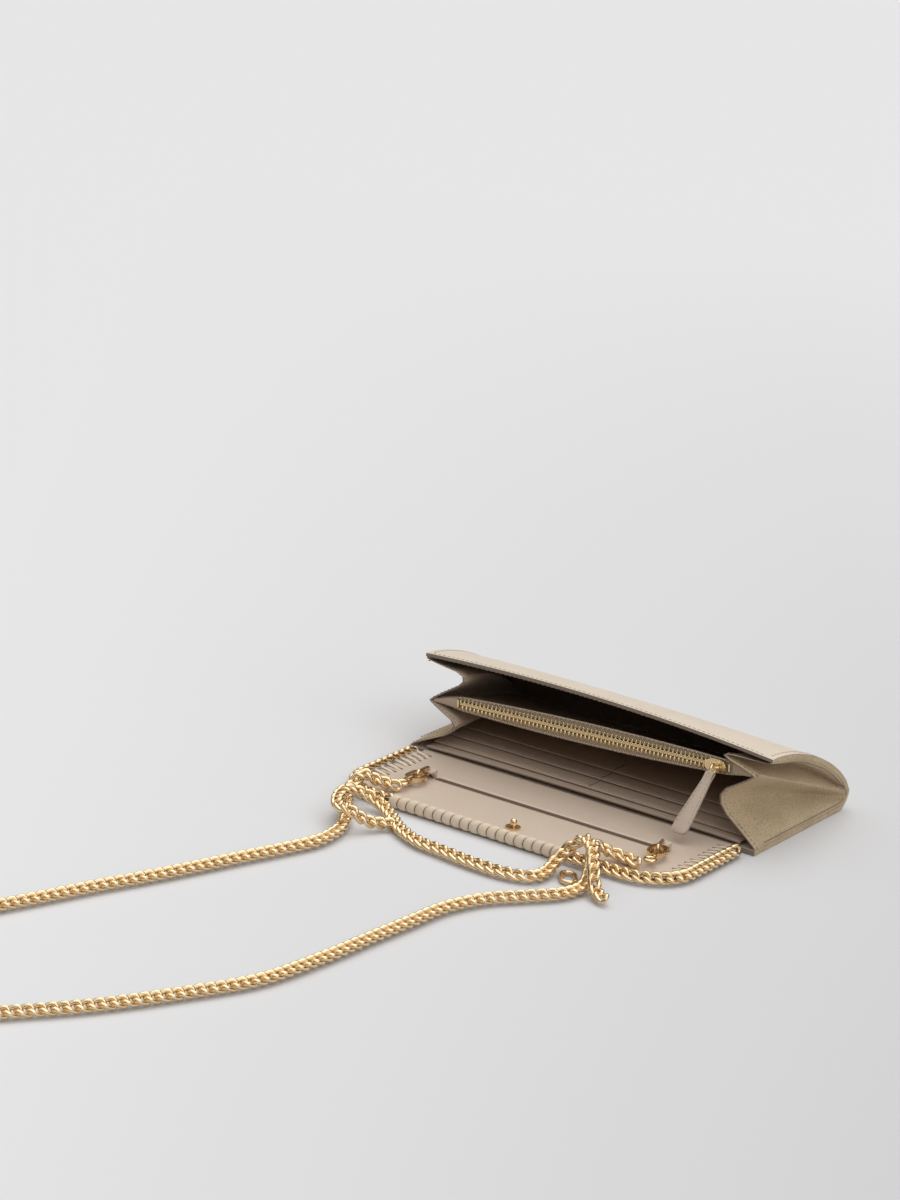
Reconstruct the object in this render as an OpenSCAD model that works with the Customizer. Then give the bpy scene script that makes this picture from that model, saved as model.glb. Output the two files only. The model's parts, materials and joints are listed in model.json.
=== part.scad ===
// Continental wallet on a chain: a gusseted leather body that opens at its mouth, a long spine
// strip and a flap with a laced, chain-trimmed edge, and a removable curb-chain shoulder strap.
// It lies open on its back panel. X runs along the mouth, +Y goes into the body, and the flap
// lies towards -Y. The origin is the middle of the fold between back panel and spine, on the floor.

/* [Body] */
// Width of the closed body
body_w = 190; // [186:1:194]
// Depth of the body from the mouth fold to the closed end
body_d = 91.5; // [90:0.5:93]
// Height of the open mouth at the front panel's edge
mouth_h = 46.4; // [45:0.2:47]
// Thickness of each leather layer
leather = 1.2; // [1.0:0.1:1.2]

/* [Spine and flap] */
// Depth of the spine strip between its two folds
spine_d = 27; // [27:0.5:28]
// Distance from the mouth fold to the axis of the rolled flap edge
flap_d = 71.3; // [71:0.1:72]
// Half width of the flap and spine leather
flap_half = 86; // [85:0.5:86]
// Radius of the flap's front corners
corner_r = 20; // [19:0.5:20]
// Radius of the rolled flap edge under its lacing
roll_r = 2.4; // [2.2:0.1:2.6]
// Distance between two turns of the lacing
lace_pitch = 4.9; // [4.8:0.1:5.2]

/* [Zip pocket] */
// Height of the closed zip at the middle of the mouth
zip_z = 31.2; // [31:0.1:31.5]
// Rise of the zip from left to right, per millimetre
zip_slope = 0.0546; // [0.050:0.001:0.056]
// Distance between two teeth of one row
tooth_pitch = 2.2; // [2.1:0.1:2.4]

/* [Card slots] */
// Distance between two card slot edges
slot_step = 11.5; // [11:0.1:12]

/* [Chain strap] */
// Width of the curb chain
chain_d = 6.4; // [6.0:0.1:6.6]

/* [Hidden] */
$fn = 48;

gap = 0.35;                     // clearance at a fold and beside a trim
half_w = body_w / 2;
sheet = 2 * leather;            // outer and lining together

// Closed end
fold_r = 9.5;                   // outer radius of the closed end's fold
fold_y = body_d - fold_r;
fold_t = 1.8;

// Front panel profile in the YZ plane, from the mouth edge to the closed end
mouth_y = 7.6;
front_a = [mouth_y, mouth_h];
front_b = [34, mouth_h + 0.1];
front_c = [77, 28.5];
front_e = [body_d - 1.2, 11];
front_steps = 16;

// Zip and its pocket
zip_y = 8.6;                    // middle of the tapes
pocket_end_y = 80;
pivot_y = 84;                   // where the pocket walls meet the closed end
pivot_z = 10;
pocket_half = 85;
zip_left = -74;
zip_right = 66;
slider_x = 67;
tooth_w = 0.8;
tape_half = 5;                  // half height of the tape band at its middle

// Card slots
slot_y = 8.5;
slot_t = 0.8;
slot_rise = 1.1;
slot_half = 86;

// Flap edge and hardware
roll_z = roll_r + 1.0;
lace_t = 0.7;
lace_w = 3.7;
roll_left = -58;                // ends of the rolled, laced part of the edge
roll_right = 36;
trim_r = chain_d / 2;
trim_x = flap_half + gap + trim_r;
trim_z = trim_r + gap;
corner_y = -(flap_d - roll_r - lace_t - 0.2) + corner_r;
stud_y = -57.5;
ring_x = 64;                    // the strap rings' tabs, either side of the middle
ring_hole_y = -(spine_d + 4);
ring_wire = 0.8;
ring_len = 10;
ring_low = sheet + gap + ring_wire;
ring_high = ring_low + 4.4;
ring_corner = 1.6;
clasp_z = (ring_low + ring_high) / 2;
clasp_start = 3.6;              // from the ring's hole to the clasp's crown
clasp_len = 13.3;
clasp_t = 2.2;
right_turn = 15;                // the right clasp points this much outwards
snap_t = 0.353;                 // where the socket sits along the front panel's profile

// Strap and short chain: the routes of their middle lines
strap_route = [
    [-65, -58, 6], [-71, -63, 8], [-76, -69, 11], [-77, -78, 6], [-72, -87, 4], [-66, -97, 4],
    [-59, -108, 4], [-54, -121, 4], [-53, -139, 4], [-58, -158, 4], [-65, -180, 4],
    [-72, -203, 4], [-80, -228, 4], [-89, -253, 4], [-97, -278, 4], [-105, -302, 4],
    [-115, -333, 4], [-121, -363, 4], [-119, -392, 4], [-106, -416, 4], [-84, -427, 4],
    [-62, -423, 4], [-46, -408, 4], [-33, -390, 4], [-11, -357, 4], [9, -317, 4],
    [21, -287, 4], [26, -250, 4], [28, -218, 4], [30, -190, 4], [32, -164, 4],
    [39, -143, 4], [50, -127, 4], [60, -112, 4], [62, -98, 4], [58, -86, 7],
    [53, -76, 12], [50, -68, 12], [53, -61, 8], [61, -58, 6], [69, -60, 6]];
short_route = [
    [-42, -97, 4], [-48, -106, 6], [-55, -112, 11], [-63, -109, 11], [-69, -99, 11],
    [-70, -90, 11], [-66, -82, 8], [-58, -81, 5], [-48, -87, 4], [-36, -98, 4],
    [-21, -106, 4], [-7, -108, 4], [10, -110, 4], [27, -110, 4], [39, -105, 4],
    [41, -95, 4], [40, -86, 6], [42, -78, 11], [49, -78, 17], [57, -84, 17], [63, -92, 13],
    [69, -99, 5], [78, -105, 4]];
route_sides = 8;
route_step = 14;                // distance between two rings of a swept tube

// ---- helpers ------------------------------------------------------------------------------

function bezier(t) = front_a * pow(1 - t, 3) + 3 * front_b * t * pow(1 - t, 2)
    + 3 * front_c * t * t * (1 - t) + front_e * pow(t, 3);
function unit(v) = v / norm(v);
function slope_of(t) = unit(bezier(min(1, t + 0.01)) - bezier(max(0, t - 0.01)));
function front_at(t, depth) = bezier(t) - depth * [-slope_of(t)[1], slope_of(t)[0]];
function front_curve(depth) = [for (i = [0 : front_steps]) front_at(i / front_steps, depth)];
function reversed(list) = [for (i = [len(list) - 1 : -1 : 0]) list[i]];
front_inner = front_curve(sheet);
function front_inner_z(y) = lookup(y, front_inner);

function zip_mid(x) = zip_z + zip_slope * x;
function pocket_z(x, y) = pivot_z + (zip_mid(x) - pivot_z) * (pivot_y - y) / (pivot_y - zip_y);
function pocket_half_h(x, y) = 1.3 + 4.1 * (1 - 0.6 * pow(x / pocket_half, 2))
    * pow(max(0, 1 - (y - zip_y) / 40), 2);
function tape_h(x) = 2.8 + (tape_half - 2.8) * (1 - pow(x / pocket_half, 2));

// A thin closed sheet between two grids of points with the same rows and columns
module sheet_between(top, bottom) {
    rows = len(top);
    cols = len(top[0]);
    n = rows * cols;
    function at(i, j) = i * cols + j;
    points = concat([for (row = top) each row], [for (row = bottom) each row]);
    faces = concat(
        [for (i = [0 : rows - 2], j = [0 : cols - 2]) each
            [[at(i, j), at(i, j + 1), at(i + 1, j + 1)], [at(i, j), at(i + 1, j + 1), at(i + 1, j)]]],
        [for (i = [0 : rows - 2], j = [0 : cols - 2]) each
            [[n + at(i, j), n + at(i + 1, j + 1), n + at(i, j + 1)],
             [n + at(i, j), n + at(i + 1, j), n + at(i + 1, j + 1)]]],
        [for (j = [0 : cols - 2], i = [0, rows - 1]) each let (
            a = i == 0 ? at(i, j) : at(i, j + 1), b = i == 0 ? at(i, j + 1) : at(i, j))
            [[b, a, n + a], [b, n + a, n + b]]],
        [for (i = [0 : rows - 2], j = [0, cols - 1]) each let (
            a = j == 0 ? at(i + 1, j) : at(i, j), b = j == 0 ? at(i, j) : at(i + 1, j))
            [[b, a, n + a], [b, n + a, n + b]]]);
    polyhedron(points, faces);
}

// Points along a route at even distances, on a smooth curve through its own points
function spline(p, i, u) = let (
    a = p[max(0, i - 1)], b = p[i], c = p[i + 1], d = p[min(len(p) - 1, i + 2)])
    0.5 * (2 * b + (c - a) * u + (2 * a - 5 * b + 4 * c - d) * u * u
        + (3 * b - a - 3 * c + d) * u * u * u);
function route_points(p) = [for (i = [0 : len(p) - 2]) let (
    parts = max(1, round(norm(p[i + 1] - p[i]) / route_step)))
    for (k = [0 : parts - 1]) spline(p, i, k / parts), p[len(p) - 1]];
module swept_tube(route, d) {
    line = route_points(route);
    last = len(line) - 1;
    function heading(i) = unit(line[min(last, i + 1)] - line[max(0, i - 1)]);
    function side(i) = unit(cross(heading(i), [0, 0, 1]));
    function ring(i) = [for (k = [0 : route_sides - 1]) let (a = 360 * (k + 0.5) / route_sides)
        line[i] + d / 2 * (cos(a) * side(i) + sin(a) * cross(side(i), heading(i)))];
    points = [for (i = [0 : last]) each ring(i)];
    faces = concat(
        [[for (k = [route_sides - 1 : -1 : 0]) k]],
        [for (i = [0 : last - 1], k = [0 : route_sides - 1]) let (
            a = i * route_sides + k, b = i * route_sides + (k + 1) % route_sides) each
            [[a, b, a + route_sides], [b, b + route_sides, a + route_sides]]],
        [[for (k = [0 : route_sides - 1]) last * route_sides + k]]);
    polyhedron(points, faces);
}

module box(low, high) translate(low) cube(high - low);
module mirrored(side) {
    if (side < 0) mirror([1, 0, 0]) children();
    else children();
}
// Extrude a YZ outline along X, centred
module along_x(width) rotate([90, 0, 90]) linear_extrude(width, center = true) children();

// ---- flap ---------------------------------------------------------------------------------

module flap_shape() {
    translate([-flap_half, corner_y]) square([2 * flap_half, -spine_d - gap - corner_y]);
    translate([-flap_half + corner_r, corner_y - corner_r])
        square([2 * (flap_half - corner_r), corner_r + 1]);
    for (side = [-1, 1]) translate([side * (flap_half - corner_r), corner_y]) circle(corner_r);
}
module flap_outer() color("wheat") linear_extrude(leather) flap_shape();
module flap_lining() color("rosybrown") translate([0, 0, leather]) linear_extrude(leather) flap_shape();
module flap_edge_roll() color("tan") translate([roll_left, -flap_d, roll_z]) rotate([0, 90, 0])
    cylinder(r = roll_r, h = roll_right - roll_left);
module flap_edge_lacing() color("burlywood") {
    turns = floor((roll_right - roll_left - lace_w) / lace_pitch);
    middle = (roll_left + roll_right) / 2;
    for (i = [0 : turns]) translate([middle + (i - turns / 2) * lace_pitch, -flap_d, roll_z])
        rotate([0, 90, 0]) difference() {
            cylinder(r = roll_r + lace_t, h = lace_w, center = true);
            cylinder(r = roll_r + 0.02, h = lace_w + 1, center = true);
        }
}
module flap_trim(side) color("gold") mirrored(side) {
    side_len = -spine_d - 4.8 - corner_y;
    front_y = corner_y - corner_r - gap - trim_r;
    roll_end = (side < 0 ? -roll_left : roll_right) + gap;
    translate([trim_x, corner_y, trim_z]) rotate([-90, 0, 0]) cylinder(r = trim_r, h = side_len);
    translate([flap_half - corner_r, corner_y, trim_z]) rotate([0, 0, -90])
        rotate_extrude(angle = 90) translate([corner_r + gap + trim_r, 0]) circle(trim_r);
    translate([roll_end, front_y, trim_z]) rotate([0, 90, 0])
        cylinder(r = trim_r, h = flap_half - corner_r - roll_end);
}
module flap_trim_left() flap_trim(-1);
module flap_trim_right() flap_trim(1);
module snap_stud() color("gold") translate([0, stud_y, sheet]) {
    cylinder(r = 3.6, h = 0.8);
    cylinder(r = 1.2, h = 2.6);
    translate([0, 0, 3]) sphere(r = 1.7);
}
module spine_edge() color("rosybrown")
    box([-60, -spine_d - 3.5, sheet], [60, -spine_d - gap, sheet + 1.8]);

// ---- strap rings and clasps ---------------------------------------------------------------

// Places a child drawn with its length along -Y from a ring's hole
module at_ring(side) translate([side * ring_x, ring_hole_y, 0])
    rotate([0, 0, side > 0 ? right_turn : 0]) children();

module ring_tab(side) color("rosybrown") difference() {
    union() {
        box([side * ring_x - 3, ring_hole_y + 2, sheet], [side * ring_x + 3, -spine_d - gap, clasp_z + 0.7]);
        box([side * ring_x - 3, ring_hole_y - 2.3, clasp_z - 0.7],
            [side * ring_x + 3, ring_hole_y + 2.1, clasp_z + 0.7]);
    }
    translate([side * ring_x, ring_hole_y, clasp_z - 2]) cylinder(r = ring_wire + 0.08, h = 4);
}
module ring_tab_left() ring_tab(-1);
module ring_tab_right() ring_tab(1);

// A wire bent into an upright rounded rectangle that hangs in its tab's hole
module wire_ring(length, low, high, wire, r) {
    for (z = [low, high]) translate([0, -r, z]) rotate([90, 0, 0]) cylinder(r = wire, h = length - 2 * r);
    for (y = [0, -length]) translate([0, y, low + r]) cylinder(r = wire, h = high - low - 2 * r);
    for (y = [-r, r - length], z = [low + r, high - r])
        translate([0, y, z]) rotate([0, 90, 0])
            rotate([0, 0, (z > (low + high) / 2 ? (y > -length / 2 ? 90 : 180) : (y > -length / 2 ? 0 : 270))])
                rotate_extrude(angle = 90) translate([r, 0]) circle(wire);
}
module strap_ring(side) color("gold") at_ring(side)
    wire_ring(ring_len, ring_low, ring_high, ring_wire, ring_corner);
module strap_ring_left() strap_ring(-1);
module strap_ring_right() strap_ring(1);

// Clasp drawn flat, with its crown at y = 0 and its length along -Y
gate_side = 3.3;
gate_pin_y = -9.6;
gate_pin_r = 0.45;
clasp_bar = 1.9;                // width of the metal round the clasp's window
eye_pin_r = 0.8;
module stadium(length, r) {
    for (y = [-r, r - length]) translate([0, y]) circle(r);
    translate([-r, r - length]) square([2 * r, length - 2 * r]);
}
module clasp_frame(side) color("gold") at_ring(side) translate([0, -clasp_start, clasp_z]) {
    difference() {
        union() {
            translate([0, 0, -clasp_t / 2]) linear_extrude(clasp_t) difference() {
                stadium(clasp_len, 4.2);
                translate([0, -clasp_bar]) stadium(clasp_len - 2 * clasp_bar, 2.4);
            }
            translate([0, -clasp_len + clasp_bar, 0]) rotate([90, 0, 0]) cylinder(r = 1.9, h = 3.7);
        }
        translate([2.2, -8.8, -clasp_t]) cube([3, 4.6, 2 * clasp_t]);
        translate([2.2, -10.8, -0.8]) cube([3, 6, 1.6]);
        translate([0, 4 - clasp_len, 0]) rotate([90, 0, 0]) cylinder(r = eye_pin_r + 0.08, h = 8);
    }
    translate([gate_side, gate_pin_y, -clasp_t / 2]) cylinder(r = gate_pin_r, h = clasp_t);
}
module clasp_left_frame() clasp_frame(-1);
module clasp_right_frame() clasp_frame(1);
module clasp_gate(side) color("goldenrod") at_ring(side) translate([0, -clasp_start, clasp_z])
    difference() {
        union() {
            translate([2.5, -9.6, -0.7]) cube([1.6, 5.2, 1.4]);
            translate([gate_side, gate_pin_y, -0.7]) cylinder(r = 0.85, h = 1.4);
            translate([3.8, -7.6, -0.7]) cube([1.4, 1.6, 1.4]);
        }
        translate([gate_side, gate_pin_y, -2]) cylinder(r = gate_pin_r + 0.05, h = 4);
    }
module clasp_left_gate() clasp_gate(-1);
module clasp_right_gate() clasp_gate(1);
module clasp_eye(side) color("gold") at_ring(side) translate([0, -clasp_start - clasp_len, clasp_z]) {
    translate([0, 3, 0]) rotate([90, 0, 0]) cylinder(r = eye_pin_r, h = 5.7);
    translate([0, 3.8, 0]) rotate([90, 0, 0]) cylinder(r = 1.4, h = 0.9);
    translate([0, -5.4, 0]) rotate_extrude() translate([2.4, 0]) circle(0.85);
}
module clasp_left_eye() clasp_eye(-1);
module clasp_right_eye() clasp_eye(1);

module strap_chain() color("gold") swept_tube(strap_route, chain_d);
module short_chain() color("gold") swept_tube(short_route, chain_d);
module oval_link() color("goldenrod") translate([49.5, -89.5, 1.4]) rotate([0, 0, 35]) {
    for (x = [-1, 1]) translate([x * 3.2, -3, 0]) rotate([-90, 0, 0]) cylinder(r = 1.1, h = 6);
    for (y = [-1, 1]) translate([0, 3 * y, 0]) rotate([0, 0, y > 0 ? 0 : 180])
        rotate_extrude(angle = 180) translate([3.2, 0]) circle(1.1);
}

// ---- spine --------------------------------------------------------------------------------

module spine_outer() color("wheat") box([-flap_half, -spine_d, 0], [flap_half, 0, leather]);
module spine_lining() color("rosybrown") box([-flap_half, -spine_d, leather], [flap_half, 0, sheet]);
module spine_trim(side) color("gold") translate([side * trim_x, -spine_d + 0.4, trim_z])
    rotate([-90, 0, 0]) cylinder(r = trim_r, h = spine_d - 4.5);
module spine_trim_left() spine_trim(-1);
module spine_trim_right() spine_trim(1);

// ---- back half of the body ----------------------------------------------------------------

module back_outer() color("wheat") box([-half_w, gap, 0], [half_w, fold_y, leather]);
module back_lining() color("rosybrown") box([-half_w, gap, leather], [half_w, fold_y, sheet]);
module end_fold() color("wheat") along_x(body_w) translate([fold_y, fold_r])
    intersection() {
        difference() {
            circle(fold_r, $fn = 96);
            circle(fold_r - fold_t, $fn = 96);
        }
        translate([0, -fold_r - 1]) square([fold_r + 1, fold_r + 1]);
    }
module slot_panel(k) {
    z = sheet + 1.0 + k * slot_rise;
    y = k == 0 ? 1.4 : slot_y + (k - 1) * slot_step;
    color("rosybrown") difference() {
        box([-slot_half, y, z], [slot_half, 81 - k, z + slot_t]);
        if (k > 0) translate([-0.4, y - 1, z + slot_t - 0.3]) cube([0.8, slot_step, 1]);
    }
}
module slip_pocket() slot_panel(0);
module card_slot_1() slot_panel(1);
module card_slot_2() slot_panel(2);
module card_slot_3() slot_panel(3);

// Accordion side: a W-shaped sheet, deep at the mouth and shallow at the closed end, with a flat
// strip down its middle where the zip pocket is sewn on
gusset_t = 0.9;
gusset_mouth_y = [0.6, 3, 4, 4, 5, mouth_y + 0.4];
gusset_end_y = [84, 85, 85, 85, 85, 85];
gusset_rows = 8;
function gusset_point(side, k, s) = let (
    y = gusset_end_y[k] - (gusset_end_y[k] - gusset_mouth_y[k]) * s,
    edge = pocket_z(side * 87.5, max(y, zip_y)),
    seam = pocket_half_h(pocket_half, max(y, zip_y)) + 0.8,
    low = sheet + 0.5,
    high = front_inner_z(max(y, mouth_y)) - 0.5,
    x = half_w - 1 - [0, 20, 6.5, 6.5, 23.5, 0][k] * s,
    z = [low, low + 0.7 * (edge - seam - low), edge - seam, edge + seam,
        edge + seam + 0.68 * (high - edge - seam), high][k])
    [side * x, y, z];
function gusset_grid(side, shift) = [for (i = [0 : gusset_rows]) let (s = 1 - 0.97 * i / gusset_rows)
    [for (k = [0 : 5]) gusset_point(side, k, s) + [side * shift, 0, 0]]];
module gusset(side) color("darkkhaki") {
    if (side > 0) sheet_between(gusset_grid(side, 0), gusset_grid(side, -gusset_t));
    else sheet_between(gusset_grid(side, -gusset_t), gusset_grid(side, 0));
}
module gusset_left() gusset(-1);
module gusset_right() gusset(1);

// ---- front panel --------------------------------------------------------------------------

module front_layer(from, to, width) along_x(width)
    polygon(concat(front_curve(from), reversed(front_curve(to))));
module at_snap() translate([0, bezier(snap_t)[0], bezier(snap_t)[1]])
    rotate([atan2(slope_of(snap_t)[1], slope_of(snap_t)[0]), 0, 0]) children();
module front_outer() color("wheat") difference() {
    front_layer(0, leather, body_w);
    at_snap() translate([0, 0, -4]) cylinder(r = 2.6, h = 8);
}
module front_lining() color("rosybrown") difference() {
    front_layer(leather, sheet, body_w - 2);
    at_snap() translate([0, 0, -4]) cylinder(r = 2.6, h = 8);
}
module snap_socket() color("gold") at_snap() difference() {
    union() {
        translate([0, 0, 0.1]) cylinder(r = 3.4, h = 0.7);
        translate([0, 0, -sheet]) cylinder(r = 2.5, h = sheet + 0.5);
    }
    translate([0, 0, -1.8]) cylinder(r = 1.9, h = 4);
}

// ---- zip pocket ---------------------------------------------------------------------------

pocket_cols = 10;
pocket_rows = [9.2, 12, 16, 21, 27, 34, 42, 50, 65, pocket_end_y];
wall_t = 0.9;
function wall_grid(up, depth) = [for (y = pocket_rows) [for (j = [0 : pocket_cols]) let (
    x = pocket_half * (2 * j / pocket_cols - 1))
    [x, y, pocket_z(x, y) + up * (pocket_half_h(x, y) - depth)]]];
module zip_wall(up) color("rosybrown") {
    if (up > 0) sheet_between(wall_grid(up, wall_t), wall_grid(up, 0));
    else sheet_between(wall_grid(up, 0), wall_grid(up, wall_t));
}
module zip_wall_lower() zip_wall(-1);
module zip_wall_upper() zip_wall(1);

// Everything on the zip is drawn with its own X along the teeth and turned to their slope
zip_turn = atan(zip_slope);
module on_zip() translate([0, 0, zip_z]) rotate([0, -zip_turn, 0]) children();
module zip_plate(thick) rotate([90, 0, 0]) linear_extrude(thick, center = true) children();

module zip_tape(up) color("tan") on_zip() translate([0, zip_y - 0.1, 0]) zip_plate(0.8) {
    steps = 20;
    xs = [for (i = [0 : steps]) -pocket_half + 2 * pocket_half * i / steps];
    polygon(concat([for (x = xs) [x, up * tape_h(x)]], [for (x = reversed(xs)) [x, up * 2.4]]));
}
module zip_tape_lower() zip_tape(-1);
module zip_tape_upper() zip_tape(1);
module zip_teeth(up) color("khaki") on_zip() translate([0, zip_y - 0.1, 0]) zip_plate(1.6) {
    count = floor((zip_right - zip_left) / tooth_pitch);
    shift = up > 0 ? 0 : tooth_pitch / 2;
    y_low = up > 0 ? 1.2 : -2.38;
    translate([zip_left, y_low]) square([zip_right - zip_left, 1.18]);
    for (i = [0 : count - 1]) translate([zip_left + shift + i * tooth_pitch, up > 0 ? -0.9 : -2.3])
        square([tooth_w, 3.2]);
}
module zip_teeth_lower() zip_teeth(-1);
module zip_teeth_upper() zip_teeth(1);
module zip_stop(x) color("khaki") on_zip() translate([x - 0.7, zip_y - 1.1, -2.3]) cube([1.4, 1.6, 4.6]);
module zip_stop_left() zip_stop(zip_left - 1.2);
module zip_stop_right() zip_stop(zip_right + 7);

plate_y = zip_y - 1.7;          // middle of the slider's front plate
bail_r = 2.9;
module zip_slider() color("khaki") on_zip() {
    translate([slider_x, plate_y, 0]) zip_plate(0.9) {
        translate([-3.6, -2.6]) square([7.6, 5.2]);
        translate([1.8, 0]) circle(3.2);
        translate([-3.6, 0]) circle(2.6);
    }
    for (z = [-3.3, 2.7]) translate([slider_x - 3.6, plate_y - 0.45, z]) cube([6, 1.3, 0.6]);
    translate([slider_x, plate_y - 0.45, 0]) rotate([0, 0, 180])
        rotate_extrude(angle = 180) translate([bail_r - 0.55, 0]) circle(0.55);
}
module zip_slider_back() color("khaki") on_zip()
    translate([slider_x, zip_y + 1.5, -0.5]) zip_plate(0.8) {
        translate([-3.6, -1.9]) square([7.6, 3.8]);
        translate([1.8, 0]) circle(2);
    }
pull_y = plate_y - 0.5 - 3.1;   // centre of the pull's ring
pull_z = zip_mid(slider_x) - 1;
module pull_ring() color("khaki") translate([slider_x, pull_y, pull_z]) rotate([0, 90, 0])
    rotate_extrude() translate([2.5, 0]) circle(0.6);
tab_lean = 36;                  // from straight down, towards the flap
tab_len = 34;
module pull_tab() color("rosybrown") translate([slider_x, pull_y, pull_z]) rotate([-tab_lean, 0, 0])
    difference() {
        union() {
            translate([0, 0, -tab_len + 4]) rotate([90, 0, 0])
                linear_extrude(1.8, center = true) union() {
                    circle(4);
                    polygon([[-4, 0], [4, 0], [2.4, tab_len - 9], [-2.4, tab_len - 9]]);
                }
        }
        translate([0, 0, -1]) cube([20, 20, 8], center = true);
    }

flap_outer();
flap_lining();
flap_edge_roll();
flap_edge_lacing();
flap_trim_left();
flap_trim_right();
snap_stud();
spine_edge();
ring_tab_left();
ring_tab_right();
clasp_left_frame();
clasp_right_frame();
clasp_left_gate();
clasp_right_gate();
clasp_left_eye();
clasp_right_eye();
strap_ring_left();
strap_ring_right();
strap_chain();
short_chain();
oval_link();
spine_outer();
spine_lining();
spine_trim_left();
spine_trim_right();
back_outer();
back_lining();
end_fold();
slip_pocket();
card_slot_1();
card_slot_2();
card_slot_3();
gusset_left();
gusset_right();
front_outer();
front_lining();
snap_socket();
zip_wall_lower();
zip_wall_upper();
zip_tape_lower();
zip_tape_upper();
zip_teeth_lower();
zip_teeth_upper();
zip_stop_left();
zip_stop_right();
zip_slider();
zip_slider_back();
pull_ring();
pull_tab();
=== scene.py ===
"""Looks of the chain wallet: leather, suede, zip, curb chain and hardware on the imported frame."""
import json
import math

import bpy
from mathutils import Matrix, Vector


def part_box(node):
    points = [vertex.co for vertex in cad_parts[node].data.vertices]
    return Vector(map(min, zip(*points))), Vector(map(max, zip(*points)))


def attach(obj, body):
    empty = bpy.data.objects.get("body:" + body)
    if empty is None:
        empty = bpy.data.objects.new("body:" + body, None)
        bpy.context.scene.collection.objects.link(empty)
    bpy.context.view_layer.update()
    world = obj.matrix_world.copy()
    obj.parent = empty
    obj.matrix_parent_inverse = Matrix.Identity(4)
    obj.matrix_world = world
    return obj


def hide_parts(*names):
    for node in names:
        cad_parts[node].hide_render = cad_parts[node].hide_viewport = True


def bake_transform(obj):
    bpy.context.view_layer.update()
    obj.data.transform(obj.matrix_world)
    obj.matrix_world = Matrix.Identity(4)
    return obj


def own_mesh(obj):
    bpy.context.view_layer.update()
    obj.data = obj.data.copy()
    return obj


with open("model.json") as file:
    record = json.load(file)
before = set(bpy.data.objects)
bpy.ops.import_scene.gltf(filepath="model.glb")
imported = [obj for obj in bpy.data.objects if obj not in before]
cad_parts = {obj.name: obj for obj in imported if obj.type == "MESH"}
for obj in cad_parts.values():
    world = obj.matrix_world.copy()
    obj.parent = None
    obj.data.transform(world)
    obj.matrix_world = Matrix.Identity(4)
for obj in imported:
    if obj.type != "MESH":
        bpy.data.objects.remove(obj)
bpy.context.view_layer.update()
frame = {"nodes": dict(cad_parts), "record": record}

MM = 0.001                      # shapes are worked out in millimetres and made in metres


def corners(node):
    """Lowest and highest corner of a CAD node, in millimetres."""
    low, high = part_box(node)
    return low / MM, high / MM


# ---- driving dimensions, from the frame ---------------------------------------------------

HALF_W = corners("back_outer")[1].x
SHEET = corners("back_lining")[1].z             # outer and lining together
FOLD_R = corners("end_fold")[1].z
FOLD_Y = corners("end_fold")[1].y - FOLD_R
MOUTH = (7.6, 46.4)                             # front panel's edge, as (y, z)
FRONT = (MOUTH, (34, 46.5), (77, 28.5), (90.3, 11))  # the front panel's curve
BOW = 4.1                                       # rise of the mouth edge at its middle
LEAN = 1.1                                      # how much its left end is raised and its right end lowered
BOW_FALL = 1.6                                  # how quickly the bow fades away from the mouth
SPINE_D = -corners("spine_outer")[0].y
FLAP_HALF = corners("spine_outer")[1].x
CORNER_R = 20
ROLL_GAP = 3.3                                  # from the roll's middle back to the flap's leather
ROLL_LOW, ROLL_HIGH = corners("flap_edge_roll")
ROLL_Y = (ROLL_LOW.y + ROLL_HIGH.y) / 2
ROLL_Z = (ROLL_LOW.z + ROLL_HIGH.z) / 2
ROLL_R = (ROLL_HIGH.z - ROLL_LOW.z) / 2
CORNER_Y = ROLL_Y + ROLL_GAP + CORNER_R
TRIM_X = (corners("spine_trim_right")[0].x + corners("spine_trim_right")[1].x) / 2
TRIM_Z = (corners("spine_trim_right")[0].z + corners("spine_trim_right")[1].z) / 2
CHAIN_D = 2 * (corners("spine_trim_right")[1].x - TRIM_X)
ZIP_Z, ZIP_SLOPE, ZIP_Y = 31.2, 0.0546, 8.6     # the zip's middle line: height, rise to the right, depth
POCKET_HALF = corners("zip_wall_upper")[1].x
PIVOT = (84, 10)                                # where the pocket's walls meet, as (y, z)
RING_X = 64
RING_HOLE_Y = -(SPINE_D + 4)
SIDES = ((-1, "left"), (1, "right"))
HALVES = ((-1, "lower"), (1, "upper"))


# ---- camera -------------------------------------------------------------------------------

def make_camera():
    """The photo's camera, solved from the corners of the flat panels."""
    azimuth, elevation, roll = (math.radians(a) for a in (31.12, 17.78, 5.61))
    aim, distance, lens = Vector((-0.1841, 0.1722, 0.015)), 2.3311, 134.8
    back = Vector((math.sin(azimuth) * math.cos(elevation),
                   -math.cos(azimuth) * math.cos(elevation), math.sin(elevation)))
    right = Vector((math.cos(azimuth), math.sin(azimuth), 0))
    up = back.cross(right)
    x = right * math.cos(roll) + up * math.sin(roll)
    y = up * math.cos(roll) - right * math.sin(roll)
    camera = bpy.data.objects.new("camera", bpy.data.cameras.new("camera"))
    bpy.context.scene.collection.objects.link(camera)
    turned = Matrix((x, y, back)).transposed().to_4x4()
    camera.matrix_world = Matrix.Translation(aim + back * distance) @ turned
    camera.data.lens = lens
    camera.data.clip_end = 20
    bpy.context.scene.camera = camera


make_camera()


# ---- materials ----------------------------------------------------------------------------

WHITE = (1, 1, 1)


def new_material(name, colour, roughness, metallic=0.0):
    material = bpy.data.materials.new(name)
    material.use_nodes = True
    shader = material.node_tree.nodes["Principled BSDF"]
    shader.inputs["Base Color"].default_value = (*colour, 1)
    shader.inputs["Roughness"].default_value = roughness
    shader.inputs["Metallic"].default_value = metallic
    return material, material.node_tree, shader


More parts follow.
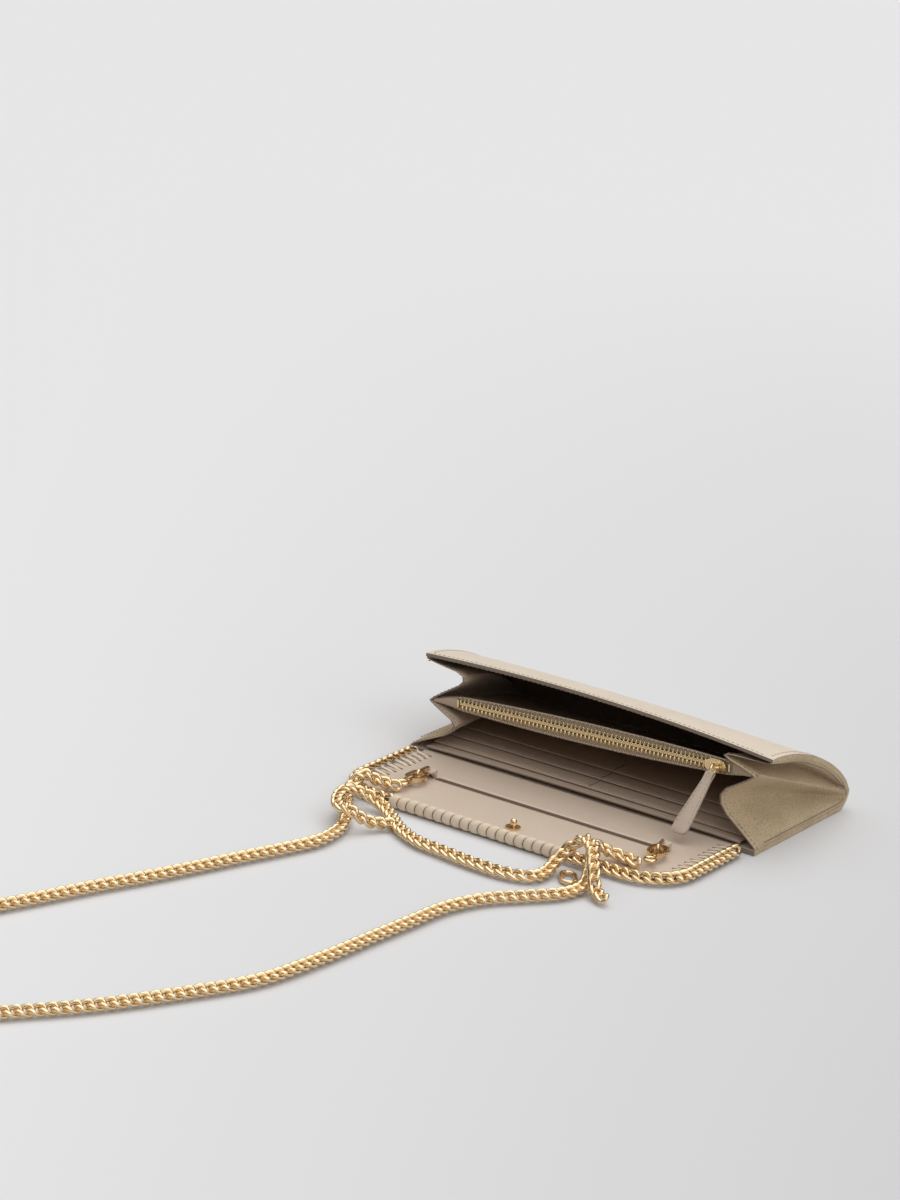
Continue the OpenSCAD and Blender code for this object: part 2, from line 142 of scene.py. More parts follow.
def add_noise(tree, size_mm, detail=3.0):
    """A noise whose blobs are about size_mm across, on the model's own coordinates."""
    place = tree.nodes.new("ShaderNodeTexCoord")
    noise = tree.nodes.new("ShaderNodeTexNoise")
    noise.inputs["Scale"].default_value = 1 / (size_mm * MM)
    noise.inputs["Detail"].default_value = detail
    tree.links.new(place.outputs["Object"], noise.inputs["Vector"])
    return noise.outputs["Fac"]


def add_ramp(tree, factor, stops):
    """Colours by factor; each stop is a place in 0..1 and its colour."""
    ramp = tree.nodes.new("ShaderNodeValToRGB")
    tree.links.new(factor, ramp.inputs["Fac"])
    points = ramp.color_ramp.elements
    while len(points) < len(stops):
        points.new(0.5)
    for point, (place, colour) in zip(points, stops):
        point.position = place
        point.color = (*colour, 1)
    return ramp.outputs["Color"]


def add_bump(tree, shader, height, depth_mm, after=None):
    """Relief depth_mm deep, on top of another bump's normal if after is given."""
    bump = tree.nodes.new("ShaderNodeBump")
    bump.inputs["Distance"].default_value = depth_mm * MM
    tree.links.new(height, bump.inputs["Height"])
    if after is not None:
        tree.links.new(after, bump.inputs["Normal"])
    tree.links.new(bump.outputs["Normal"], shader.inputs["Normal"])
    return bump.outputs["Normal"]


def shade(colour, amount):
    return tuple(c * amount for c in colour)


def leather(name, colour, roughness, grain_mm, depth_mm, spread, sheen=0.0):
    """Leather with a fine grain, slow changes of tone and small darker pores."""
    material, tree, shader = new_material(name, colour, roughness)
    cloud_mm, cloud_depth_mm, pore_depth = 22, 0.25, 2.2
    tone = add_noise(tree, cloud_mm, 2)
    darker, lighter = shade(colour, 1 - spread / 2), shade(colour, 1 + spread / 2)
    mottle = add_ramp(tree, tone, [(0.3, darker), (0.7, lighter)])
    grain = add_noise(tree, grain_mm, 4)
    pores = add_ramp(tree, grain, [(0.28, shade(WHITE, 1 - pore_depth * spread)), (0.52, WHITE)])
    mix = tree.nodes.new("ShaderNodeMix")
    mix.data_type = "RGBA"
    mix.blend_type = "MULTIPLY"
    mix.inputs["Factor"].default_value = 1.0
    tree.links.new(mottle, mix.inputs["A"])
    tree.links.new(pores, mix.inputs["B"])
    tree.links.new(mix.outputs["Result"], shader.inputs["Base Color"])
    slow = add_bump(tree, shader, tone, cloud_depth_mm)
    add_bump(tree, shader, grain, depth_mm, slow)
    shader.inputs["Sheen Weight"].default_value = sheen
    shader.inputs["Sheen Roughness"].default_value = 0.4
    return material


def metal(name, colour, roughness):
    """Plated metal with faint polishing marks."""
    material, tree, shader = new_material(name, colour, roughness, 1.0)
    mark_mm, dent_mm, dent_depth_mm = 1.6, 0.9, 0.02
    marks = add_noise(tree, mark_mm, 3)
    rough = tree.nodes.new("ShaderNodeMapRange")
    rough.inputs["To Min"].default_value = roughness * 0.7
    rough.inputs["To Max"].default_value = roughness * 1.5
    tree.links.new(marks, rough.inputs["Value"])
    tree.links.new(rough.outputs["Result"], shader.inputs["Roughness"])
    tone = add_ramp(tree, marks, [(0.3, shade(colour, 0.93)), (0.7, colour)])
    tree.links.new(tone, shader.inputs["Base Color"])
    add_bump(tree, shader, add_noise(tree, dent_mm, 2), dent_depth_mm)
    return material


def woven(name, dark, light):
    """Herringbone tape: fine diagonal ribs."""
    ribs_scale, rib_depth_mm = 420, 0.12
    material, tree, shader = new_material(name, light, 0.85)
    place = tree.nodes.new("ShaderNodeTexCoord")
    wave = tree.nodes.new("ShaderNodeTexWave")
    wave.wave_type = "BANDS"
    wave.bands_direction = "DIAGONAL"
    wave.inputs["Scale"].default_value = ribs_scale
    wave.inputs["Distortion"].default_value = 0.6
    tree.links.new(place.outputs["Object"], wave.inputs["Vector"])
    tree.links.new(add_ramp(tree, wave.outputs["Fac"], [(0.1, dark), (0.8, light)]),
                   shader.inputs["Base Color"])
    add_bump(tree, shader, wave.outputs["Fac"], rib_depth_mm)
    return material


SUEDE = leather("suede", (0.77, 0.66, 0.53), 0.86, 0.55, 0.20, 0.07, 0.3)
GUSSET = leather("gusset_suede", (0.55, 0.42, 0.265), 0.85, 0.9, 0.5, 0.18, 0.05)
LINING = leather("lining", (0.60, 0.485, 0.385), 0.52, 0.9, 0.035, 0.035)
# painted shade: a darker copy of the lining for the zip pocket's walls and ends, which lie in shade
SHADED_POCKET = leather("pocket_lining_painted_shade", (0.50, 0.40, 0.305), 0.6, 0.8, 0.04, 0.04)
# painted shade: a darker copy of the lining for the shell's inner side, which lies in shade
SHADED_INSIDE = leather("inner_lining_painted_shade", (0.42, 0.34, 0.27), 0.6, 0.9, 0.035, 0.04)
# painted shade: a darker copy of the lining for the slip pocket and card slots, which lie in shade under
# the front panel
SHADED_SLOTS = leather("slot_lining_painted_shade", (0.50, 0.39, 0.305), 0.5, 0.9, 0.035, 0.04)
LACE = leather("lace", (0.76, 0.63, 0.48), 0.7, 0.5, 0.06, 0.06, 0.1)
EDGE = leather("edge_paint", (0.235, 0.185, 0.145), 0.5, 0.6, 0.05, 0.10)
THREAD = leather("thread", (0.22, 0.165, 0.12), 0.8, 0.3, 0.05, 0.10)
PALE_THREAD = leather("pale_thread", (0.42, 0.33, 0.25), 0.8, 0.3, 0.05, 0.10)
TAPE = woven("zip_tape", (0.20, 0.15, 0.095), (0.50, 0.40, 0.27))
GOLD = metal("gold", (0.87, 0.655, 0.39), 0.12)
PALE_GOLD = metal("pale_gold", (0.90, 0.74, 0.46), 0.17)


# ---- mesh helpers -------------------------------------------------------------------------

SHARP = math.radians(50)                        # an edge that turns more than this stays crisp


class Heap:
    """Points and faces of many small parts that become one piece, and each face's material."""

    def __init__(self):
        self.points, self.faces, self.choice = [], [], []

    def loft(self, rings, closed=False, material=lambda i, k: 0, cap_material=0):
        """Closed rings of equal count joined in order; the ends are capped, or joined if closed."""
        first, count = len(self.points), len(rings[0])
        for ring in rings:
            self.points.extend(ring)
        for i in range(len(rings) if closed else len(rings) - 1):
            a, b = first + i * count, first + (i + 1) % len(rings) * count
            for k in range(count):
                n = (k + 1) % count
                self.faces.append((a + k, a + n, b + n, b + k))
                self.choice.append(material(i, k))
        if not closed:
            last = first + (len(rings) - 1) * count
            self.faces.append(tuple(first + k for k in reversed(range(count))))
            self.faces.append(tuple(last + k for k in range(count)))
            self.choice.extend([cap_material] * 2)

    def make(self, name, materials, slot):
        """A piece of the points, which are in millimetres, with its normals turned outward."""
        mesh = bpy.data.meshes.new(name)
        mesh.from_pydata([Vector(p) * MM for p in self.points], [], self.faces)
        for material in materials:
            mesh.materials.append(material)
        for polygon, choice in zip(mesh.polygons, self.choice):
            polygon.use_smooth = True
            polygon.material_index = choice
        piece = bpy.data.objects.new(name, mesh)
        bpy.context.scene.collection.objects.link(piece)
        mesh.set_sharp_from_angle(angle=SHARP)
        bpy.context.view_layer.objects.active = piece
        piece.select_set(True)
        bpy.ops.object.mode_set(mode="EDIT")
        bpy.ops.mesh.select_all(action="SELECT")
        bpy.ops.mesh.normals_make_consistent(inside=False)
        bpy.ops.object.mode_set(mode="OBJECT")
        piece.select_set(False)
        return piece


def two_sided(count):
    """Material 0 for the first side of a sheet count points wide, 1 for its second, 2 for its edges."""
    def choose(i, k):
        if k < count - 1:
            return 0
        return 1 if count <= k < 2 * count - 1 else 2
    return choose


def lerp(a, b, t):
    return a + (b - a) * t


def spread_of(low, high, count):
    """Evenly spaced values from low to high."""
    return [lerp(low, high, i / (count - 1)) for i in range(count)]


def tube(heap, line, radius, sides=8, closed=False, up=Vector((0, 0, 1)), material=0):
    """A round tube along a line of points."""
    rings = []
    count = len(line)
    for i, p in enumerate(line):
        ahead = line[(i + 1) % count] if closed else line[min(i + 1, count - 1)]
        behind = line[i - 1] if closed or i else line[0]
        heading = (Vector(ahead) - Vector(behind)).normalized()
        side = heading.cross(up)
        side = side.normalized() if side.length > 0.01 else heading.cross(Vector((1, 0, 0))).normalized()
        top = side.cross(heading)
        rings.append([Vector(p) + radius * (math.cos(a) * side + math.sin(a) * top)
                      for a in (2 * math.pi * (k + 0.5) / sides for k in range(sides))])
    heap.loft(rings, closed, lambda i, k: material, material)


def stitches(heap, line, up, pitch=2.6, length=1.9, radius=0.24):
    """Short threads along a line, their ends sunk in the leather. up is the surface's normal."""
    for here, heading in walk(line, pitch)[:-1]:
        thread = [here + heading * lerp(0.2, length, t) + up * (height * radius)
                  for t, height in ((0, -0.6), (0.3, 0.35), (0.7, 0.35), (1, -0.6))]
        tube(heap, thread, radius, 6, up=up)


def walk(line, step, start=0.0):
    """Places at even steps along a line of points, each with its heading."""
    places, travelled, target = [], 0.0, start
    line = [Vector(p) for p in line]
    for a, b in zip(line, line[1:]):
        length = (b - a).length
        while length > 0 and target <= travelled + length:
            places.append((a.lerp(b, (target - travelled) / length), (b - a).normalized()))
            target += step
        travelled += length
    return places


def smooth_corners(points, times=2):
    """Cuts the corners of an open line, so that its folds are rounded."""
    for _ in range(times):
        cut = [points[0]]
        for a, b in zip(points, points[1:]):
            cut += [a.lerp(b, 0.25), a.lerp(b, 0.75)]
        points = cut + [points[-1]]
    return points


# ---- curb chain ---------------------------------------------------------------------------

STRAP_ROUTE = [
    (-65, -58, 6), (-71, -63, 8), (-76, -69, 11), (-77, -78, 6), (-72, -87, 4), (-66, -97, 4),
    (-59, -108, 4), (-54, -121, 4), (-53, -139, 4), (-58, -158, 4), (-65, -180, 4),
    (-72, -203, 4), (-80, -228, 4), (-89, -253, 4), (-97, -278, 4), (-105, -302, 4),
    (-115, -333, 4), (-121, -363, 4), (-119, -392, 4), (-106, -416, 4), (-84, -427, 4),
    (-62, -423, 4), (-46, -408, 4), (-33, -390, 4), (-11, -357, 4), (9, -317, 4),
    (21, -287, 4), (26, -250, 4), (28, -218, 4), (30, -190, 4), (32, -164, 4),
    (39, -143, 4), (50, -127, 4), (60, -112, 4), (62, -98, 4), (58, -86, 7),
    (53, -76, 12), (50, -68, 12), (53, -61, 8), (61, -58, 6), (69, -60, 6)]
SHORT_ROUTE = [
    (-42, -97, 4), (-48, -106, 6), (-55, -112, 11), (-63, -109, 11), (-69, -99, 11),
    (-70, -90, 11), (-66, -82, 8), (-58, -81, 5), (-48, -87, 4), (-36, -98, 4),
    (-21, -106, 4), (-7, -108, 4), (10, -110, 4), (27, -110, 4), (39, -105, 4),
    (41, -95, 4), (40, -86, 6), (42, -78, 11), (49, -78, 17), (57, -84, 17), (63, -92, 13),
    (69, -99, 5), (78, -105, 4)]
LINK_PITCH, WIRE = 5.1, 2.2
LINK_LEN = LINK_PITCH + 2 * WIRE
LINK_TWIST = math.radians(60)                   # how far each end of a link is turned
LIE = 0.7                                       # the links lie this much lower than their route
FREE_LEAN = Vector((0.3, -0.45, 1.0))           # the way the free chain's flat side faces


def spline(route, parts):
    """A smooth curve through the route's points."""
    p = [Vector(q) for q in route]
    line = []
    for i in range(len(p) - 1):
        a, b, c, d = p[max(0, i - 1)], p[i], p[i + 1], p[min(len(p) - 1, i + 2)]
        for k in range(parts):
            u = k / parts
            line.append(0.5 * (2 * b + (c - a) * u + (2 * a - 5 * b + 4 * c - d) * u * u
                               + (3 * b - a - 3 * c + d) * u ** 3))
    return line + [p[-1]]


def link_loop(steps=20):
    """The middle line of one curb link: a flat oval, twisted along its length."""
    round_r = (CHAIN_D - WIRE) / 2
    straight = (LINK_LEN - WIRE) / 2 - round_r
    side, arc = 2 * straight, math.pi * round_r
    loop = []
    for k in range(steps):
        s = (side + arc) * 2 * k / steps
        sign = 1 if s < side + arc else -1
        s = s % (side + arc)
        if s < side:
            x, y = sign * (s - straight), -sign * round_r
        else:
            a = (s - side) / round_r
            x, y = sign * (straight + round_r * math.sin(a)), -sign * round_r * math.cos(a)
        turn = LINK_TWIST * x / (LINK_LEN / 2)
        loop.append(Vector((x, y * math.cos(turn), y * math.sin(turn))))
    return loop


LOOP = link_loop()


def add_link(heap, middle, heading, up):
    side = up.cross(heading).normalized()
    up = heading.cross(side)
    line = [middle + heading * p.x + side * p.y + up * p.z for p in LOOP]
    tube(heap, line, WIRE / 2, 8, closed=True, up=up)


def chain(line, lean, start, lift=0.0):
    """Curb links along a line, their flat side facing the way of lean as nearly as they can."""
    heap = Heap()
    for middle, heading in walk(line, LINK_PITCH, start):
        up = (lean - heading * lean.dot(heading)).normalized()
        add_link(heap, middle + Vector((0, 0, lift)), heading, up)
    return heap


def free_chain(name, route, node):
    """A loose chain of links along its route, laid as a cord."""
    line = spline(route, 8)
    piece = chain(line, FREE_LEAN, 1.0, -LIE).make(name, [GOLD], "gold")
    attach(piece, "flap")
    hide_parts(node)


free_chain("strap_links", STRAP_ROUTE, "strap_chain")
free_chain("short_links", SHORT_ROUTE, "short_chain")


def trim_line(side):
    """From the body's mouth along spine and flap and round the flap's corner to the laced edge."""
    line = [Vector((side * TRIM_X, y, TRIM_Z)) for y in spread_of(-4.5, CORNER_Y, 16)]
    turn_r = TRIM_X - FLAP_HALF + CORNER_R
    for a in spread_of(0, 90, 16)[1:]:
        line.append(Vector((side * (FLAP_HALF - CORNER_R + turn_r * math.cos(math.radians(a))),
                            CORNER_Y - turn_r * math.sin(math.radians(a)), TRIM_Z)))
    end = (ROLL_LOW if side < 0 else ROLL_HIGH).x + side * 1.5
    line += [Vector((x, CORNER_Y - turn_r, TRIM_Z)) for x in spread_of(line[-1].x, end, 6)[1:]]
    return line


def make_trims():
    """The chain trim along both sides of spine and flap."""
    for side, name in SIDES:
        heap = chain(trim_line(side), Vector((0.6 * side, -0.7, 0.8)), 4.2)
        piece = heap.make(f"trim_links_{name}", [GOLD], "gold")
        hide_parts(f"flap_trim_{name}", f"spine_trim_{name}")
        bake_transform(piece)


# ---- body ---------------------------------------------------------------------------------

def front_point(t):
    """A place on the front panel's curve as (y, z), with t 0 at the mouth and 1 at the closed end."""
    a, b, c, d = (Vector(p) for p in FRONT)
    return a * (1 - t) ** 3 + 3 * b * t * (1 - t) ** 2 + 3 * c * t * t * (1 - t) + d * t ** 3


def bow(x, t):
    """How much higher than its curve the front panel is, most at the middle of the mouth."""
    return (BOW * (1 - (x / HALF_W) ** 2) - LEAN * x / HALF_W) * (1 - t) ** BOW_FALL


def front_height(x, y):
    """The front panel's outer surface above a place."""
    low, high = 0.0, 1.0
    for _ in range(24):
        t = (low + high) / 2
        low, high = (t, high) if front_point(t).x < y else (low, t)
    return front_point(t).y + bow(x, t)


def shell_outline():
    """The body's outer side in the YZ plane from its back mouth edge round to the front, with t."""
    line = [(Vector((y, 0)), 1) for y in spread_of(0.4, FOLD_Y, 22)]
    for a in spread_of(-90, -4, 12)[1:]:
        line.append((Vector((FOLD_Y + FOLD_R * math.cos(math.radians(a)),
                             FOLD_R + FOLD_R * math.sin(math.radians(a)))), 1))
    line += [(front_point(t), t) for t in spread_of(0.93, 0, 34)]
    return line


def inward(line, i, depth):
    """A place depth further in than an outline's point."""
    ahead, behind = line[min(i + 1, len(line) - 1)][0], line[max(i - 1, 0)][0]
    heading = (ahead - behind).normalized()
    return line[i][0] + depth * Vector((-heading.y, heading.x))


def skived(t):
    """The front panel's thickness, pared down towards its mouth edge."""
    return SHEET - 0.8 * max(0, 1 - t / 0.12)


def inner_front():
    """The front panel's inner side in the YZ plane, from its mouth to the closed end."""
    outline = shell_outline()
    return [inward(outline, i, SHEET) for i in reversed(range(len(outline))) if outline[i][1] < 1]


INNER_FRONT = inner_front()
BOW_END_Y = 90                                  # the bow has faded away this far in


def ceiling(x, y):
    """The front panel's inner surface above a place."""
    for a, b in zip(INNER_FRONT, INNER_FRONT[1:]):
        if a.x <= y <= b.x:
            risen = bow(x, 0) * max(0, 1 - y / BOW_END_Y) ** BOW_FALL
            return lerp(a.y, b.y, (y - a.x) / (b.x - a.x)) + risen
    return INNER_FRONT[0 if y < INNER_FRONT[0].x else -1].y


def floor(y):
    """The back panel's and closed end's inner surface below a place."""
    if y < FOLD_Y:
        return SHEET
    return FOLD_R - math.sqrt(max(0, (FOLD_R - SHEET) ** 2 - (y - FOLD_Y) ** 2))


def make_shell():
    """Back panel, closed end and front panel: suede outside, smooth lining with painted shade inside,
    painted edges.
    """
    outline = shell_outline()
    count = len(outline)
    rings = []
    for x in spread_of(-HALF_W, HALF_W, 49):
        outer = [Vector((x, p.x, p.y + bow(x, t))) for p, t in outline]
        inner = []
        for i in reversed(range(count)):
            p = inward(outline, i, skived(outline[i][1]))
            inner.append(Vector((x, p.x, p.y + bow(x, outline[i][1]))))
        rings.append(outer + inner)
    heap = Heap()
    heap.loft(rings, material=two_sided(count), cap_material=3)
    piece = heap.make("body_shell", [SUEDE, SHADED_INSIDE, EDGE, GUSSET], "suede_outer")
    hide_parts("front_outer", "front_lining", "back_outer", "back_lining", "end_fold")
    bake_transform(piece)


def front_row(t, sunk):
    """A line across the front panel beside its mouth edge, sunk below the outer surface."""
    y = front_point(t).x
    return [Vector((x, y, front_height(x, y) - sunk)) for x in spread_of(-HALF_W + 3, HALF_W - 3, 60)]


def make_front_stitches():
    """Stitching along the front panel's mouth, outside and inside, and down its two sides."""
    heap = Heap()
    stitches(heap, front_row(0.02, 0), Vector((0, 0, 1)), radius=0.18)
    for side in (-1, 1):
        x = side * (HALF_W - 2.6)
        line = [Vector((x, front_point(t).x, front_point(t).y + bow(x, t)))
                for t in spread_of(0.04, 0.9, 60)]
        stitches(heap, line, Vector((0, 0.35, 0.94)))
    stitches(heap, front_row(0.035, SHEET + 0.05), Vector((0, 0, -1)))
    piece = heap.make("front_stitching", [PALE_THREAD], "suede_outer")
    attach(piece, "front")


# ---- gussets ------------------------------------------------------------------------------

# each fold of the gusset at the mouth: its y and how far in it goes
GUSSET_FOLDS = ((0.9, 0), (1.2, 0.4), (3, 27), (4, 6.3), (4, 6.3), (5, 29),
                (MOUTH[0], 0.6), (MOUTH[0] + 0.4, 0))
GUSSET_ROWS = 32
EDGE_SEAM = 1 - 1.8 / 80                        # how deep the seam along the mouth edge is, as s
SEAM_X = 87.5                                   # where the gusset meets the zip pocket's end
GUSSET_END_Y = 88.4                             # how far in the gusset's closed end is


def pocket_z(x, y):
    """The height of the pocket's middle: on the zip's line at its mouth, on the pivot at its back."""
    middle = ZIP_Z + ZIP_SLOPE * x
    return PIVOT[1] + (middle - PIVOT[1]) * (PIVOT[0] - y) / (PIVOT[0] - ZIP_Y)


def pocket_half_h(x, y):
    """Half the pocket's height: a lens at its mouth, pinched where the gussets hold its ends."""
    pinch_x = 73
    pinch = 1 - 0.75 * max(0, (abs(x) - pinch_x) / (POCKET_HALF - pinch_x)) ** 1.3
    mouth = 4.1 * (1 - 0.6 * (x / POCKET_HALF) ** 2) * pinch - 0.5 * (1 - pinch)
    return 1.3 + mouth * max(0, 1 - (y - ZIP_Y) / 40) ** 2


def gusset_heights(side, y, s):
    """The heights of the gusset's folds at one depth, from the back panel up to the front panel."""
    pared = 0.8 * max(0, 1 - (y - MOUTH[0]) / 8)
    low, high = floor(y) - 0.1, ceiling(side * HALF_W, max(y, MOUTH[0] + 1)) + 0.1 + pared
    middle = min(max(pocket_z(side * SEAM_X, max(y, ZIP_Y)), low + 1), high - 1)
    seam = min(0.9, (high - low) / 5)
    flange = min(lerp(3.6, 1.5, s ** 6), (middle - low) * 0.35, (high - middle) * 0.35)
    lower, upper = middle - seam, middle + seam
    return (low, low + flange, lerp(low, lower, 0.6), lower, upper,
            lerp(upper, high, 0.8), high - flange, high)


def gusset_profile(side, s):
    """The gusset's folds at depth s, 1 at the mouth and 0 at the closed end."""
    points = []
    for k, (mouth, reach) in enumerate(GUSSET_FOLDS):
        y = lerp(GUSSET_END_Y, mouth, s)
        points.append(Vector((side * (HALF_W - 0.3 - reach * s ** 0.6), y, gusset_heights(side, y, s)[k])))
    return smooth_corners(points)


def seam_on_gusset(side, s, at):
    """A place on the gusset's flange beside its seam; at is -1 by the back panel, 1 by the front."""
    y = lerp(GUSSET_END_Y, GUSSET_FOLDS[0][0], s)
    low, high = floor(y), ceiling(side * HALF_W, max(y, MOUTH[0] + 1))
    gap = min(1.9, (high - low) * 0.2)
    return Vector((side * (HALF_W - 0.25), y, low + gap if at < 0 else high - gap))


def make_gusset(side, name):
    """One folded side gusset with its painted edge and its stitching."""
    thick = 1.0
    heap = Heap()
    rows = [gusset_profile(side, 1 - i / GUSSET_ROWS) for i in range(GUSSET_ROWS + 1)]
    shift = Vector((-side * thick, 0, 0))
    rings = [row + [p + shift for p in reversed(row)] for row in rows]
    heap.loft(rings, material=two_sided(len(rows[0])), cap_material=2)
    piece = heap.make(f"gusset_{name}_leather", [GUSSET, LINING, EDGE], "gusset_suede")
    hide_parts(f"gusset_{name}")
    seam = Heap()
    edge = gusset_profile(side, EDGE_SEAM)
    for offset in (0, -side * thick):
        stitches(seam, [p + Vector((offset, 0, 0)) for p in edge],
                 Vector((side if offset == 0 else -side, 0, 0)), 2.3, 1.6, 0.2)
    for at in (-1, 1):
        line = [seam_on_gusset(side, s, at) for s in spread_of(0.9, 0, 40)]
        stitches(seam, line, Vector((side, 0, 0)), 2.6, 1.9, 0.2)
    thread = seam.make(f"gusset_{name}_stitching", [THREAD], "gusset_suede")
    for soft in (piece, thread):
        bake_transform(soft)


# ---- card slots ---------------------------------------------------------------------------

SLOT_HALF = corners("card_slot_1")[1].x
SLOT_SHEET = 0.8                                # thickness of the slots' leather
RISE_DEPTH = 12                                 # how far in from its front edge a slot's sheet is raised
CARD_SLOTS = ("card_slot_1", "card_slot_2", "card_slot_3")
SLOT_RISE, SLIP_RISE = 0.35, 0.9                # how far the edge is raised at its middle


def make_slots():
    """The slip pocket and three card slots: thin sheets with a rounded front edge."""
    for node in ("slip_pocket", *CARD_SLOTS):
        low, high = corners(node)
        first = node == "slip_pocket"
        heap = Heap()
        rings = []
        for x in spread_of(-SLOT_HALF, SLOT_HALF, 41):
            lift = (SLIP_RISE if first else SLOT_RISE) * (1 - (x / SLOT_HALF) ** 2)
            top, bottom = [], []
            for y in spread_of(low.y, high.y, 24):
                z = low.z + lift * max(0, 1 - (y - low.y) / RISE_DEPTH) ** 2
                top.append(Vector((x, y, z + SLOT_SHEET)))
                bottom.append(Vector((x, y, z)))
            lip = [Vector((x, low.y - 0.35, low.z + lift + h)) for h in (0.15, SLOT_SHEET - 0.15)]
            rings.append(top + bottom[::-1] + lip)
        count = len(rings[0])
        heap.loft(rings, material=lambda i, k: 1 if k >= count - 3 else 0)
        piece = heap.make(f"{node}_leather", [SHADED_SLOTS, EDGE if first else SHADED_SLOTS], "nappa_lining")
        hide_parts(node)
        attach(piece, "back")


def make_slot_stitches():
    """A row of stitches behind the front edge of each card slot."""
    heap = Heap()
    for node in CARD_SLOTS:
        low = corners(node)[0]
        line = [Vector((x, low.y + 2.4, low.z + 0.82 + 0.22 * (1 - (x / SLOT_HALF) ** 2)))
                for x in spread_of(-SLOT_HALF + 2, SLOT_HALF - 2, 40)]
        stitches(heap, line, Vector((0, 0, 1)), 2.6, 1.9, 0.17)
    piece = heap.make("slot_stitching", [PALE_THREAD], "nappa_lining")
    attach(piece, "back")


def make_slot_divider():
    """The seam that parts each card slot into two, side by side."""
    heap = Heap()
    for node in CARD_SLOTS:
        low = corners(node)[0]
        middle = [Vector((0, y, low.z + 0.85 + SLOT_RISE * max(0, 1 - (y - low.y) / RISE_DEPTH) ** 2))
                  for y in spread_of(low.y + 0.3, low.y + 10.5, 8)]
        tube(heap, middle, 0.3, 6)
    piece = heap.make("slot_divider_seam", [THREAD], "nappa_lining")
    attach(piece, "back")


# ---- zip pocket ---------------------------------------------------------------------------

ZIP_TURN = math.atan(ZIP_SLOPE)


def on_zip(x, y, z):
    """A place given along and across the zip's teeth."""
    return Vector((x * math.cos(ZIP_TURN) - z * math.sin(ZIP_TURN), y,
                   ZIP_Z + x * math.sin(ZIP_TURN) + z * math.cos(ZIP_TURN)))


def tape_half_h(x):
    """Half the height of the tape that shows, under the pocket's lips."""
    return pocket_half_h(x, ZIP_Y) - 0.3


def tape_gap(x):
    """How far from the zip's middle the tape starts; right of the last tooth the two tapes meet."""
    return 1.5 if x < 70 else 0.1


WALL_ROWS = (79.5, 66, 54, 44, 36, 29, 23, 18, 14, 11, 9.4)  # how far in the wall's rows are
# the turned lip's rows: how far in, and how far from the wall's outer face towards the zip
LIP_ROWS = ((8.5, -0.02), (8.05, 0.15), (7.85, 0.45), (7.85, 0.8), (8.1, 0.95), (8.55, 0.95))


def make_pocket_wall(up, name):
    """One leather wall of the pocket with its turned front lip and the stitching along it."""
    heap, seam = Heap(), Heap()
    rings, line = [], []
    for x in spread_of(-POCKET_HALF, POCKET_HALF, 41):
        outer = [Vector((x, y, pocket_z(x, y) + up * pocket_half_h(x, y))) for y in WALL_ROWS]
        inner = [p - Vector((0, 0, up * 0.8)) for p in reversed(outer)]
        edge = on_zip(x, 0, 0).z
        h = pocket_half_h(x, ZIP_Y)
        lip = [Vector((x, y, edge + up * (h - d))) for y, d in LIP_ROWS]
        rings.append(outer + lip + inner)
        line.append(Vector((x, 7.86, edge + up * (h - 0.5))))
    heap.loft(rings)
    piece = heap.make(f"zip_wall_{name}_leather", [SHADED_POCKET], "nappa_lining")
    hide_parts(f"zip_wall_{name}")
    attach(piece, "pocket")
    stitches(seam, line[1:-1], Vector((0, -1, 0)), 2.4, 1.8, 0.16)
    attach(seam.make(f"zip_{name}_stitching", [THREAD], "nappa_lining"), "pocket")


def make_tape(up, name):
    """One half of the woven tape that carries the teeth."""
    tape = Heap()
    rings = []
    for x in spread_of(-76, 77, 31):
        gap, edge = tape_gap(x), tape_half_h(x)
        rings.append([on_zip(x, y, up * z)
                      for y, z in ((8.45, gap), (8.4, edge), (8.7, edge), (8.75, gap))])
    tape.loft(rings)
    piece = tape.make(f"zip_tape_{name}_woven", [TAPE], "tape")
    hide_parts(f"zip_tape_{name}")
    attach(piece, "pocket")


def make_zip_end(side, name):
    """The sewn leather end that closes the pocket's mouth beside the zip."""
    heap = Heap()
    rings = []
    for t in spread_of(0, 1, 9):
        x = side * lerp(75, POCKET_HALF + 1.5, t)
        h = tape_half_h(x)
        y = lerp(8.4, 5.2, t ** 1.5)
        front = [on_zip(x, y - 0.5 * math.cos(math.radians(a)), h * math.sin(math.radians(a)))
                 for a in spread_of(-80, 80, 7)]
        rings.append(front + [on_zip(x, y + 0.6, h * 0.9), on_zip(x, y + 0.6, -h * 0.9)])
    heap.loft(rings)
    piece = heap.make(f"zip_end_{name}_leather", [SHADED_POCKET], "nappa_lining")
    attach(piece, "pocket")


TOOTH_PITCH = 2.2
TEETH_LEFT, TEETH_RIGHT = -74, 66               # the ends of the rows of teeth
# a tooth's head and foot: inner and outer end across the zip, half width and half depth
TOOTH_PARTS = ((-0.95, 0.9, 0.62, 0.6), (0.7, 3.0, 0.5, 0.72))
OCTAGON = ((-1, -0.5), (-0.5, -1), (0.5, -1), (1, -0.5), (1, 0.5), (0.5, 1), (-0.5, 1), (-1, 0.5))


def make_teeth():
    """Two rows of interlocked teeth: a rounded head in the middle and a foot crimped on the tape."""
    for up, name in HALVES:
        heap = Heap()
        for i in range(int((TEETH_RIGHT - TEETH_LEFT) / TOOTH_PITCH)):
            x = TEETH_LEFT + 0.4 + i * TOOTH_PITCH + (0 if up > 0 else TOOTH_PITCH / 2)
            for inner, outer, half, deep in TOOTH_PARTS:
                rings = []
                for z, scale in ((inner, 0.55), (inner + 0.25, 1), (outer - 0.3, 1), (outer, 0.6)):
                    rings.append([on_zip(x + half * scale * a, ZIP_Y - 0.1 + deep * scale * b, up * z)
                                  for a, b in OCTAGON])
                heap.loft(rings)
        piece = heap.make(f"zip_teeth_{name}_metal", [PALE_GOLD], "zip_metal")
        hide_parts(f"zip_teeth_{name}")
        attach(piece, "pocket")


